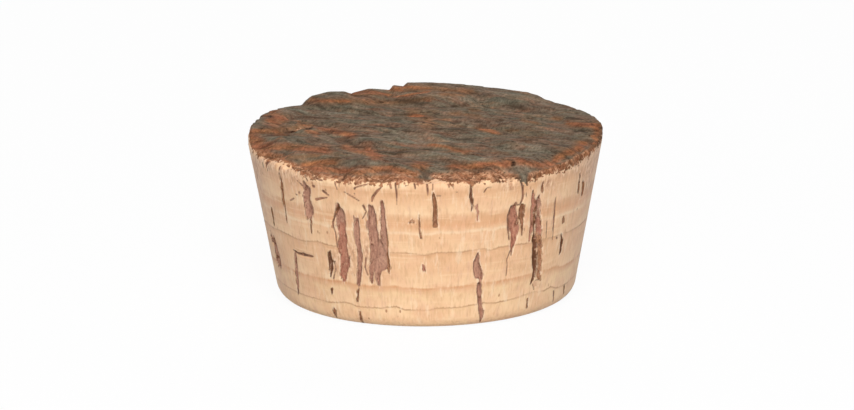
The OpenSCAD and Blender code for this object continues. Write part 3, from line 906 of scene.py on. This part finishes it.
class Value:
    """A shader's value or colour, for sums with others."""

    def __init__(self, nodes, socket):
        self.nodes, self.socket = nodes, socket

    def __add__(self, other):
        return self.nodes.maths("ADD", self, other)

    def __sub__(self, other):
        return self.nodes.maths("SUBTRACT", self, other)

    def __rsub__(self, other):
        return self.nodes.maths("SUBTRACT", other, self)

    def __mul__(self, other):
        return self.nodes.maths("MULTIPLY", self, other)

    def __abs__(self):
        return self.nodes.maths("ABSOLUTE", self)

    def most(self, other):
        return self.nodes.maths("MAXIMUM", self, other)

    def soft(self, low, high):
        """0 below low, 1 above high and a soft step between."""
        inputs = {"Value": self, "From Min": low, "From Max": high}
        return self.nodes.value("MapRange", "Result", inputs, interpolation_type="SMOOTHSTEP")

    def scaled(self, low, high, to_low, to_high):
        """The value stretched from one range to another."""
        inputs = {"Value": self, "From Min": low, "From Max": high}
        inputs.update({"To Min": to_low, "To Max": to_high})
        return self.nodes.value("MapRange", "Result", inputs)

    def ramp(self, stops):
        """Colours along the value, from pairs of a place and a colour."""
        node = self.nodes.add("ValToRGB", {"Fac": self})
        elements = node.color_ramp.elements
        while len(elements) < len(stops):
            elements.new(1.0)
        for element, (place, tint) in zip(elements, stops):
            element.position = place
            element.color = colour(tint)
        return Value(self.nodes, node.outputs["Color"])


class Nodes:
    """Adds nodes to the shader tree of a material or world and links them."""

    def __init__(self, owner):
        owner.use_nodes = True
        self.tree = owner.node_tree
        self.tree.nodes.clear()

    def add(self, kind, inputs=(), **settings):
        node = self.tree.nodes.new("ShaderNode" + kind)
        for name, value in settings.items():
            setattr(node, name, value)
        for name, value in dict(inputs).items():
            socket = node.inputs[name]
            if isinstance(value, Value):
                self.tree.links.new(value.socket, socket)
            else:
                socket.default_value = colour(value) if isinstance(value, str) else value
        return node

    def value(self, kind, output, inputs=(), **settings):
        """One output of a new node."""
        return Value(self, self.add(kind, inputs, **settings).outputs[output])

    def field(self, name):
        return self.value("Attribute", "Fac", attribute_name=name)

    def maths(self, operation, *terms):
        return self.value("Math", 0, enumerate(terms), operation=operation)

    def between(self, share, first, second):
        """A share of the way from one number to another."""
        return self.value("Mix", 0, {0: share, 2: first, 3: second})

    def mix(self, share, first, second, kind="MIX"):
        """A share of the way from one colour to another, or to their product."""
        inputs = {0: share, 6: first, 7: second}
        return self.value("Mix", 2, inputs, data_type="RGBA", blend_type=kind)

    def space(self, scale, turn):
        """The stopper's own coordinates in millimetres, turned about its axis and scaled."""
        own = self.value("TexCoord", "Object")
        spin = (0, 0, math.radians(turn))
        spun = self.value("Mapping", 0, {"Vector": own, "Rotation": spin})
        size = tuple(part / MM for part in scale)
        return self.value("Mapping", 0, {"Vector": spun, "Scale": size})

    def noise(self, scale, detail, roughness=0.55, turn=0):
        """Cloudy values around 0.5, finer for a larger scale along x, y and z."""
        inputs = {"Vector": self.space(scale, turn), "Scale": 1}
        inputs.update({"Detail": detail, "Roughness": roughness})
        return self.value("TexNoise", "Fac", inputs)

    def cells(self, scale, output):
        return self.value("TexVoronoi", output, {"Vector": self.space(scale, 0), "Scale": 1})

    def shades(self, scale, part):
        """A random value for each cell."""
        return self.value("SeparateColor", part, {"Color": self.cells(scale, "Color")})


def colour(code):
    """A screen colour, written in six hexadecimal digits, as the linear colour of a shader."""
    parts = [int(code[i:i + 2], 16) / 255 for i in (0, 2, 4)]
    linear = [p / 12.92 if p <= 0.04045 else ((p + 0.055) / 1.055) ** 2.4 for p in parts]
    return (*linear, 1.0)


WHITE = "ffffff"
# Colours of the cut cork
LIGHT, MID, DEEP, ORANGE, GLOW = "f8d2a7", "f0c296", "e3af83", "db9c6d", "e6ac7f"
# The halo colour is pale crumbs round the lenticels' lips and partly a painted highlight there
LINE, CREAM, STRAW, BLUSH, LIP_CRUMBS_AND_HIGHLIGHT = "ba835c", "fad9b4", "f5d0a2", "eeba94", "fbdebe"
PALE_VEIN, ROSY_VEIN, FIBRE, FLECK, PORE = "fbdebc", "e0b092", "f0eae4", "c08a64", "96664a"
# Growth rings by the share of the side height
RINGS = [
    (0.00, STRAW), (0.10, LIGHT), (0.132, STRAW), (0.140, LINE), (0.148, LIGHT), (0.24, STRAW),
    (0.268, DEEP), (0.281, ORANGE), (0.294, LIGHT), (0.40, MID), (0.480, MID), (0.505, DEEP),
    (0.513, LINE), (0.521, LIGHT), (0.60, MID), (0.635, MID), (0.650, CREAM), (0.668, MID),
    (0.700, GLOW), (0.745, DEEP), (0.785, LIGHT), (0.86, MID), (0.92, DEEP), (0.955, LIGHT),
    (1.0, MID),
]
# Stains, partly painted shade, and scratches, by a noise
FRAYED = [(0.38, "b07c5e"), (0.48, "d29d79"), (0.62, "f7d4b0")]
SCRATCH = [(0.38, "b07c5c"), (0.54, "704831")]
# Filling of the lenticels by their tone, and what varies it
TONES = [
    (BLACK, "7e5640"), (UMBER, "744e39"), (BROWN, "a87756"), (TAN, "c4906c"), (MAUVE, "c4957e"),
    (RED, "c68b73"),
]
# The edge colour is painted shade along the inner walls of the lenticels
SLOT_BAND, SLOT_LINE, SLOT_WALL_SHADE = "966454", "704838", "7c523c"
SLOT_SPECK, SLOT_GRIT = "e2b898", "64402f"
# Colours of the bark: its ground and its tears by a noise, its crumbs at random, and single ones
GREYS = [(0.36, "686354"), (0.46, "716655"), (0.54, "726253"), (0.64, "735a48")]
RUSTS = [(0.38, "9b6541"), (0.50, "9f6443"), (0.62, "955b40")]
CRUMBS = [(0, "7a4e35"), (0.30, "a56f4f"), (1, "d8a682")]
# The pit colour is painted shade that darkens the bark's carved pits
LICHEN, OLIVE, PIT_SHADE, CRACK, HOLE = "797262", "7c5a40", "402d22", "3c2f24", "2c1f17"
# Turn of the bark's fine grain in degrees
GRAIN_TURN = 24


def cork_colour(nodes):
    """Cut cork: level growth rings, veins, a fine grain, small flecks, and frayed stains partly
    painted as shade.
    """
    fibres = nodes.noise((2.2, 2.2, 0.30), 3)
    level = nodes.field("level") + (fibres - 0.5) * 0.016
    whole = nodes.noise((0.30, 0.30, 0.2), 3).soft(0.36, 0.58)
    rings = nodes.mix(whole * 0.40 + 0.60, MID, level.ramp(RINGS))
    clouds = nodes.noise((0.16, 0.16, 0.24), 3).soft(0.42, 0.72)
    layers = nodes.noise((0.12, 0.12, 1.5), 3).soft(0.54, 0.70)
    layered = nodes.mix(layers * 0.55, nodes.mix(clouds * 0.6, rings, DEEP), LIGHT)
    blush = nodes.noise((0.22, 0.22, 0.35), 2).soft(0.46, 0.66)
    blushed = nodes.mix(blush * 0.35, layered, BLUSH)
    veins = nodes.noise((0.9, 0.9, 0.09), 4, 0.65)
    veined = nodes.mix(veins.soft(0.54, 0.70) * 0.55, blushed, PALE_VEIN)
    veined = nodes.mix(veins.soft(0.46, 0.32) * 0.40, veined, ROSY_VEIN)
    shade = fibres.ramp([(0.28, FIBRE), (0.52, WHITE)])
    grained = nodes.mix(1, veined, shade, "MULTIPLY")
    near = nodes.cells((0.55, 0.55, 0.30), "Distance").soft(0.15, 0.07)
    few = nodes.noise((0.3, 0.3, 0.3), 1).soft(0.50, 0.62)
    flecked = nodes.mix(near * few, grained, FLECK)
    # Brown stains, and painted shade under the bark's edge and at the side's left and right edges
    stain_and_shade = nodes.field("stain_and_shade") * fibres.soft(0.30, 0.52)
    frayed = nodes.noise((1.5, 1.5, 0.5), 3, 0.65).ramp(FRAYED)
    return nodes.mix(stain_and_shade * 0.8, flecked, frayed)


def slot_colour(nodes):
    """Filling of a lenticel: mauve, red or brown crumbs with pale specks."""
    tone = nodes.field("slot_tone")
    grit = nodes.noise((2.2, 2.2, 1.1), 4, 0.65)
    bands = nodes.noise((0.5, 0.5, 0.35), 3).soft(0.42, 0.66)
    lines = nodes.noise((2.6, 2.6, 0.30), 3, 0.6).soft(0.50, 0.36)
    banded = nodes.mix(bands * 0.25, tone.ramp(TONES), SLOT_BAND)
    lined = nodes.mix(lines * 0.30, banded, SLOT_LINE)
    specks = grit.soft(0.52, 0.70) * tone.soft(0.05, 0.40)
    worn = nodes.mix(specks * 0.6, lined, SLOT_SPECK)
    return nodes.mix(grit.soft(0.46, 0.32), worn, nodes.mix(0.5, lined, SLOT_GRIT))


def bark_colour(nodes):
    """Weathered bark: mottled grey plates, rust where they are torn, dark cracks, pale crumbs,
    painted shade in pits.
    """
    def grain(scale, detail, roughness):
        return nodes.noise(scale, detail, roughness, GRAIN_TURN)

    broad = grain((0.07, 0.30, 0.05), 4, 0.60)
    thin = grain((0.26, 0.95, 0.10), 4, 0.62)
    hue = grain((0.14, 0.45, 0.10), 5, 0.68)
    tear = grain((0.17, 0.62, 0.10), 5, 0.70)
    seam = grain((0.075, 0.30, 0.05), 5, 0.60)
    grit = grain((2.2, 1.1, 1.6), 3, 0.65)
    streak = nodes.between(0.55, broad, thin).scaled(0.36, 0.64, 0.61, 1.36)
    light = streak * grit.scaled(0.3, 0.7, 0.60, 1.40)
    pale, olive = nodes.field("pale"), nodes.field("olive")
    grey = nodes.mix(pale * 0.7, hue.ramp(GREYS), LICHEN)
    ground = nodes.mix(olive * 0.8, grey, OLIVE)
    bare = nodes.field("bark").soft(2.0, 0.6) * (1 - pale.most(olive))
    torn = nodes.field("rust").most(bare) + (tear - 0.5) * 2.4
    rusty = nodes.mix(torn.soft(-0.25, 1.15) * 0.84, ground, hue.ramp(RUSTS))
    plates = nodes.mix(1, rusty, light, "MULTIPLY")
    loose = nodes.field("crumbs").most(bare * 0.4) * grit.soft(0.34, 0.54)
    crumbled = nodes.mix(loose, plates, nodes.shades((1.7, 1.7, 1.7), "Red").ramp(CRUMBS))
    # Painted shade: the bark's carved pits are darkened
    pit_shaded = nodes.mix(nodes.field("pits") * 0.45, crumbled, PIT_SHADE)
    seams = abs(seam - 0.5).soft(0.035, 0) * 0.65
    split = nodes.field("cracks").most(seams) * thin.soft(0.70, 0.44)
    cracked = nodes.mix(split * 0.75, pit_shaded, CRACK)
    deep = nodes.field("holes") + (grit - 0.5) * 1.2
    return nodes.mix(deep.soft(0.25, 1), cracked, HOLE)


def base_pores(nodes, cork):
    """The base is cut across the lenticels, which show there as round brown pores."""
    pore = nodes.cells((0.16, 0.16, 0.16), "Distance").soft(0.20, 0.10)
    normal = nodes.value("NewGeometry", "Normal")
    below = nodes.value("SeparateXYZ", "Z", {0: normal}).soft(-0.90, -0.97)
    return nodes.mix(pore * below, cork, PORE)


def make_cork_material():
    """One finish for the whole stopper, with bark, cork and lenticels where its fields say."""
    material = bpy.data.materials.new("natural_cork")
    nodes = Nodes(material)
    wobble = nodes.noise((1.3, 1.3, 0.8), 4, 0.6)
    fibre = nodes.noise((2.4, 2.4, 0.40), 3, 0.6)
    ragged = (wobble - 0.5) * 0.50
    scatter = (nodes.shades((2.0, 2.0, 1.5), "Green") - 0.5) * 1.1
    slot_gap = nodes.field("slot_gap") + (ragged + (fibre - 0.5) * 0.80)
    line_gap = nodes.field("line_gap") + ragged * 0.6
    bark = nodes.field("bark")
    in_slot = slot_gap.soft(0.14, -0.10)
    on_line = line_gap.soft(0.12, -0.08)
    on_bark = (bark + (ragged + scatter)).soft(-0.15, 0.15)

    # Pale ring round each lenticel: pale crumbs on its lip, partly a painted highlight
    lip_crumbs_and_highlight = slot_gap.soft(0.75, 0.15) * fibre.soft(0.50, 0.62)
    cork = nodes.mix(lip_crumbs_and_highlight * 0.7, base_pores(nodes, cork_colour(nodes)), LIP_CRUMBS_AND_HIGHLIGHT)
    # Painted shade: a darker band inside each lenticel, along its wall
    edge = slot_gap.soft(-0.40, -0.05) * wobble.soft(0.49, 0.62)
    side = nodes.mix(in_slot, cork, nodes.mix(edge, slot_colour(nodes), SLOT_WALL_SHADE))
    side = nodes.mix(on_line, side, wobble.ramp(SCRATCH))
    whole = nodes.mix(on_bark, side, bark_colour(nodes))

    streaks = nodes.noise((1.2, 1.6, 1.2), 4, 0.60, GRAIN_TURN)
    pores = nodes.noise((3.0, 3.0, 1.4), 4, 0.6)
    side_high = nodes.between(in_slot, pores * 0.10, pores * 0.45)
    height = nodes.between(bark.soft(-0.8, 0.8), side_high, streaks * 0.16)
    bump = nodes.value("Bump", 0, {"Height": height, "Strength": 0.8, "Distance": MM})
    dull = on_bark.most(in_slot)
    surface = nodes.value("BsdfPrincipled", 0, {
        "Base Color": whole, "Roughness": pores * 0.25 + 0.66, "Normal": bump,
        "Specular IOR Level": nodes.between(dull, 0.50, 0.02),
        "Sheen Weight": nodes.between(dull, 0.19, 0), "Sheen Roughness": 0.5,
    })
    nodes.add("OutputMaterial", {"Surface": surface})
    return material


FLOOR_SIZE = 8.0
# The floor lies a hair below the base, so that the two don't coincide
FLOOR_LEVEL = -0.05 * MM
# Its colour for light on the object and for the camera
FLOOR_SHADE, FLOOR_TINT = "d0d0d0", "f6f6f6"
# How much of what the camera sees of the floor is plain white, and not its own shaded surface
FLOOR_WHITE = 0.94


def seen_directly(nodes):
    """1 for what the camera sees directly or in gloss and glass, 0 for light on the object."""
    rays = ("Camera", "Glossy", "Transmission")
    camera, gloss, glass = (nodes.value("LightPath", f"Is {ray} Ray") for ray in rays)
    return camera.most(gloss).most(glass)


def make_floor():
    """A pale floor that keeps a soft shadow of the stopper."""
    half = FLOOR_SIZE / 2
    mesh = bpy.data.meshes.new("floor")
    corners = [(-half, -half, 0), (half, -half, 0), (half, half, 0), (-half, half, 0)]
    mesh.from_pydata(corners, [], [(0, 1, 2, 3)])
    floor = add_object("floor", mesh)
    floor.location.z = FLOOR_LEVEL
    material = bpy.data.materials.new("floor")
    nodes = Nodes(material)
    seen = seen_directly(nodes)
    tint = nodes.mix(seen, FLOOR_SHADE, FLOOR_TINT)
    surface = nodes.value("BsdfDiffuse", 0, {"Color": tint})
    white = nodes.value("Emission", 0, {"Color": WHITE, "Strength": 1})
    shown = nodes.value("MixShader", 0, {0: seen * FLOOR_WHITE, 1: surface, 2: white})
    nodes.add("OutputMaterial", {"Surface": shown})
    mesh.materials.append(material)


# Strength of the even light
AMBIENT = 0.10


def make_world():
    """White behind the stopper, and an even soft light all round it."""
    world = bpy.data.worlds.new("studio")
    bpy.context.scene.world = world
    nodes = Nodes(world)
    strength = nodes.between(seen_directly(nodes), AMBIENT, 1)
    back = nodes.value("Background", 0, {"Color": WHITE, "Strength": strength})
    nodes.add("OutputWorld", {"Surface": back})


# Soft lamps: name, place in metres, width in metres and power in watts
LAMPS = [
    ("key", (0.03, -1.00, 0.70), 0.7, 14.2),
    ("top", (0.0, -0.20, 1.30), 1.0, 3.8),
    ("back", (0.05, 1.00, 0.50), 0.8, 4.4),
]


def make_lamps():
    """Square lamps that face the middle of the stopper."""
    target = Vector((0, 0, SIDE_HEIGHT / 2 * MM))
    for name, place, width, power in LAMPS:
        data = bpy.data.lights.new(name, "AREA")
        data.shape = "SQUARE"
        data.size = width
        data.energy = power
        lamp = add_object(name, data)
        lamp.location = place
        lamp.rotation_euler = (target - Vector(place)).to_track_quat("-Z", "Y").to_euler()
        lamp.visible_camera = False


def make_camera():
    """The photograph's view: the stopper's middle lands on its pixel without a lens shift."""
    data = bpy.data.cameras.new("camera")
    data.sensor_width = SENSOR_WIDTH
    data.lens = SENSOR_WIDTH * CAMERA_DISTANCE * PIXELS_PER_MM / PHOTO_WIDTH
    camera = add_object("camera", data)
    right, up, back, eye = camera_stand()
    axes = Matrix((right, up, back)).transposed()
    camera.matrix_world = Matrix.Translation(Vector(eye) * MM) @ axes.to_4x4()
    bpy.context.scene.camera = camera


make_camera()
stopper = make_stopper()
stopper.data.materials.append(make_cork_material())
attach(stopper, "root")
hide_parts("stopper")
make_floor()
make_world()
make_lamps()
bpy.context.scene.view_settings.view_transform = "Standard"
